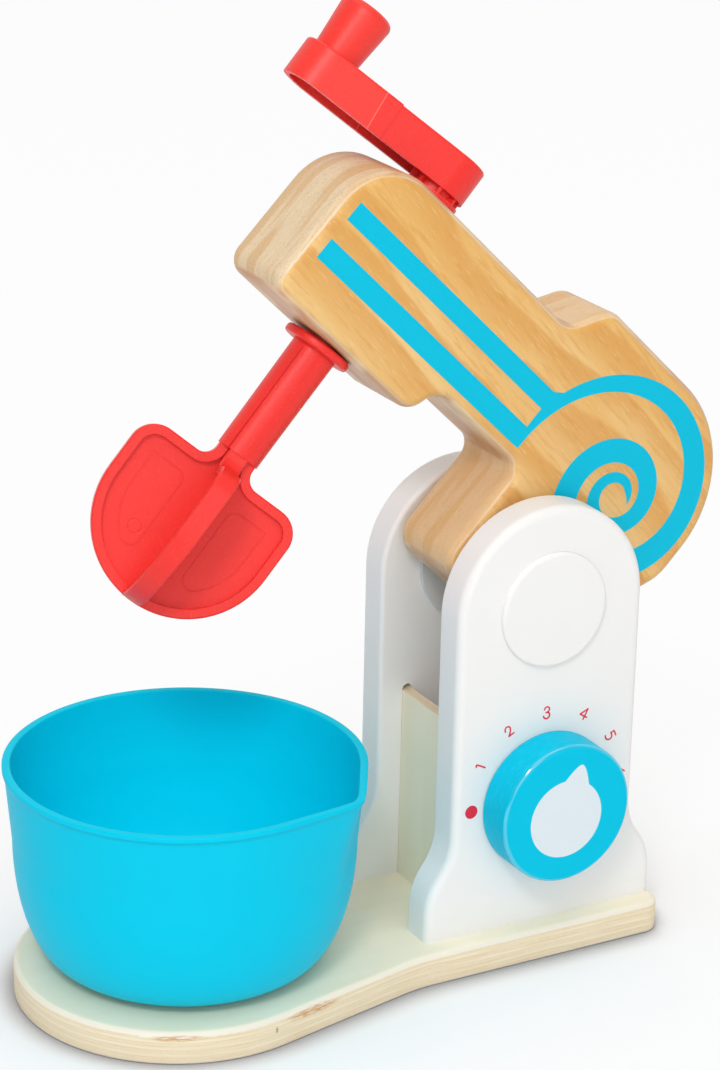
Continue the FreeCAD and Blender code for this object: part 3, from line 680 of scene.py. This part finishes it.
curve_top = ring_height + curve_height
floor_top = ring_height + bowl_wall
ring_round, bead_round, bead_height = 0.7, 0.5, 1.5
ring_inside = ring_radius - 2 * bowl_wall
side_rise = bowl_height - curve_top
wall_heights = np.linspace(curve_top, bowl_height - bead_height - bead_round, 14)[1:]
wall_share = (wall_heights - curve_top) / side_rise
inside_heights = np.linspace(bowl_height - 1.1, curve_top, 16)
inside_share = (inside_heights - curve_top) / side_rise
inside_curve = curve_up(foot_radius - bowl_wall, side_radius - bowl_wall, floor_top, curve_top, 34)
profile = np.hstack([
    np.array([[0.001, ring_inside - 0.6], [ring_height, ring_height]]),
    arc(ring_inside + ring_round, ring_round, ring_round, 180, 270),
    arc(ring_radius - ring_round, ring_round, ring_round, 270, 360),
    np.array([[ring_radius, foot_radius - 1.0], [ring_height - 0.3, ring_height]]),
    curve_up(foot_radius, side_radius, ring_height, curve_top, 34),
    np.array([side_radius + wall_share * (wall_top_radius - side_radius), wall_heights]),
    arc(rim_radius - bead_round, bowl_height - bead_height, bead_round, -60, 0),
    arc(rim_radius - bead_round, bowl_height - bead_round, bead_round, 0, 90),
    arc(wall_top_radius - bowl_wall + bead_round, bowl_height - bead_round, bead_round, 90, 180),
    np.array([side_radius - bowl_wall + inside_share * (wall_top_radius - side_radius), inside_heights]),
    inside_curve[:, ::-1][:, 1:],
    np.array([[30.0, 20.0, 10.0, 0.001], [floor_top] * 4])])


def bowl_surface(profile, steps):
    """Profile turned about the bowl's axis, with the lip.

    A point at radius R moves out to R / cos(t - |d|), where d is its angle from the lip's tip and
    t = acos(R / (R + reach)): the straight line from the tip that touches the circle of radius R.
    The reach is full at the rim and eases to nothing at the lip's depth. The tip is softened: |d| is
    the root of d squared plus a small angle squared, less another.
    """
    bearing = np.linspace(0, 2 * math.pi, steps, endpoint=False)
    away = np.abs((bearing - lip_bearing + math.pi) % (2 * math.pi) - math.pi)
    softened = np.sqrt(away ** 2 + tip_softness ** 2) - tip_widening
    radius, level = profile[0][:, None], profile[1][:, None]
    ease = np.clip((level - (bowl_height - lip_depth)) / lip_depth, 0, 1)
    reach = lip_reach * ease ** lip_ease
    touch = np.arccos(radius / (radius + reach + 1e-6))
    out = radius / np.cos(np.clip(touch - softened, 0, None))
    x = bowl_x + out * np.cos(bearing)
    y = out * np.sin(bearing)
    z = np.broadcast_to(bowl_seat + level, out.shape)
    return np.stack([x, y, z], axis=-1) * MM


def turned_mesh(name, grid, finish):
    """Closed skin through a grid of points that goes round in its second direction; both ends are poles."""
    rows, steps = grid.shape[:2]
    index = np.arange(rows * steps).reshape(rows, steps)
    following = np.roll(index, -1, axis=1)
    quads = np.stack([index[:-1], following[:-1], following[1:], index[1:]], axis=-1).reshape(-1, 4)
    mesh = bpy.data.meshes.new(name)
    mesh.from_pydata(grid.reshape(-1, 3).tolist(), [], quads.tolist())
    turn_outwards(mesh)
    mesh.polygons.foreach_set("use_smooth", np.ones(len(mesh.polygons), bool))
    mesh.materials.append(finish.material)
    piece = bpy.data.objects.new(name, mesh)
    bpy.context.scene.collection.objects.link(piece)
    return piece


def lit_through(finish, colour):
    """Paints the bowl's inside paler, most of all low down: painted light that stands for light coming
    through the thin wall.
    """
    from_axis = finish.add("VectorMath", {"operation": "SUBTRACT"}, finish.place(), (bowl_x * MM, 0, 0))
    outward = finish.add("VectorMath", {"operation": "NORMALIZE"}, finish.stretched(from_axis, (1, 1, 0)))
    inward = finish.facing((0, 0, 1)) - finish.facing(outward)
    height = finish.parts(finish.place())[2]
    lay_over(finish, inward.above(0.1, 0.8) * (1 - 0.75 * height.above(45 * MM, 88 * MM)), colour)


turquoise, deep_turquoise, lit_through_turquoise = (0.0, 0.60, 0.83), (0.0, 0.575, 0.81), (0.0, 0.76, 0.95)
blue_moulding = moulded("blue_moulding", turquoise, deep_turquoise, 0.42, 0.08, 1500.0)
lit_through(blue_moulding, lit_through_turquoise)
mixing_bowl = turned_mesh("mixing_bowl", bowl_surface(profile, 288), blue_moulding)
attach(mixing_bowl, "bowl")
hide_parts("bowl")


# Table and light: a plain white table with a painted contact shadow where the board stands on it,
# a small lamp high on the left, a broad one in front and a broader one above, and an even white room.
# The camera stands where the photograph was taken from.
table_half = 6.0
table = bpy.data.meshes.new("table")
table.from_pydata([(-table_half, -table_half, 0), (table_half, -table_half, 0), (table_half, table_half, 0),
                   (-table_half, table_half, 0)], [], [(0, 1, 2, 3)])
table_top = Finish("pale_table", Roughness=0.8, Specular_IOR_Level=0.1)
# Close under the board the table's colour is painted grey, as a painted contact shadow, and there the white
# glow gives way to the shaded table.
painted_contact_shadow = table_top.add("AmbientOcclusion", {"samples": 8}, Distance=14 * MM, out="AO").above(0.45, 0.95)
open_round = table_top.add("AmbientOcclusion", {"samples": 8}, Distance=0.30, out="AO").above(0.45, 1.0)
table_top.give(Base_Color=table_top.blend(painted_contact_shadow, (0.40, 0.40, 0.42), (0.96, 0.96, 0.96)))
seen = table_top.add("LightPath", {}, out="Is Camera Ray")
seen += table_top.add("LightPath", {}, out="Is Glossy Ray")
white_share = seen * 0.93 * open_round * painted_contact_shadow
shaded = Wire(table_top, table_top.shader.outputs[0])
surface = table_top.add("MixShader", {}, white_share, shaded, table_top.add("Emission", {}, (1, 1, 1), 1.0))
table_top.tree.links.new(surface.socket, table_top.tree.nodes["Material Output"].inputs["Surface"])
table.materials.append(table_top.material)
floor = bpy.data.objects.new("table", table)
bpy.context.scene.collection.objects.link(floor)


def lamp(name, place, target, size, power):
    """Round lamp of this width in metres and power in watts, turned to its target."""
    light = bpy.data.lights.new(name, "AREA")
    light.shape, light.size, light.energy = "DISK", size, power
    holder = bpy.data.objects.new(name, light)
    holder.location = place
    holder.rotation_euler = (Vector(target) - Vector(place)).to_track_quat("-Z", "Y").to_euler()
    bpy.context.scene.collection.objects.link(holder)


toy_middle = (0, 0, 0.15)
lamp("key_lamp", (-0.78, -0.92, 1.30), toy_middle, 0.35, 7.0)
lamp("front_lamp", (-0.45, -1.20, 0.80), toy_middle, 1.3, 5.0)
lamp("top_lamp", (0.00, -0.30, 1.90), toy_middle, 1.8, 8.0)


class Room(Finish):
    """The world round the toy, built node by node as a finish is."""

    def __init__(self, name, **values):
        world = bpy.data.worlds.new(name)
        world.use_nodes = True
        bpy.context.scene.world = world
        self.tree = world.node_tree
        self.shader = self.tree.nodes["Background"]
        self.give(**values)


# The room lights at one level, and shows white to the camera and, behind the toy, to gloss.
light_level, gloss_level = 0.50, 0.15
room = Room("white_room", Color=(1, 1, 1))
view_way = (0.49, 0.87, 0.0)
ahead = room.add("VectorMath", {"operation": "DOT_PRODUCT"}, room.add("TexCoord", {}, out="Generated"),
                 view_way, out="Value")
behind = room.add("MapRange", {}, ahead, -0.3, 0.4, gloss_level - light_level, 1 - light_level)
to_camera = (1 - light_level) * room.add("LightPath", {}, out="Is Camera Ray")
to_gloss = behind * room.add("LightPath", {}, out="Is Glossy Ray")
room.give(Strength=to_camera + to_gloss + light_level)

view_turn, view_rise, view_roll = (math.radians(degrees) for degrees in (-29.316, 20.336, 1.247))
view_place = (-0.492436, -0.895142, 0.537386)
right = Vector((math.cos(view_turn), math.sin(view_turn), 0))
back = Vector((math.sin(view_turn) * math.cos(view_rise), -math.cos(view_turn) * math.cos(view_rise),
               math.sin(view_rise)))
above = back.cross(right)
rolled_right = math.cos(view_roll) * right + math.sin(view_roll) * above
rolled_up = math.cos(view_roll) * above - math.sin(view_roll) * right
eye = bpy.data.cameras.new("camera")
eye.lens, eye.sensor_width = 106.80, 36.0
camera = bpy.data.objects.new("camera", eye)
turned = Matrix((rolled_right, rolled_up, back)).transposed().to_4x4()
camera.matrix_world = Matrix.Translation(view_place) @ turned
bpy.context.scene.collection.objects.link(camera)
bpy.context.scene.camera = camera
bpy.context.scene.view_settings.view_transform = "Standard"
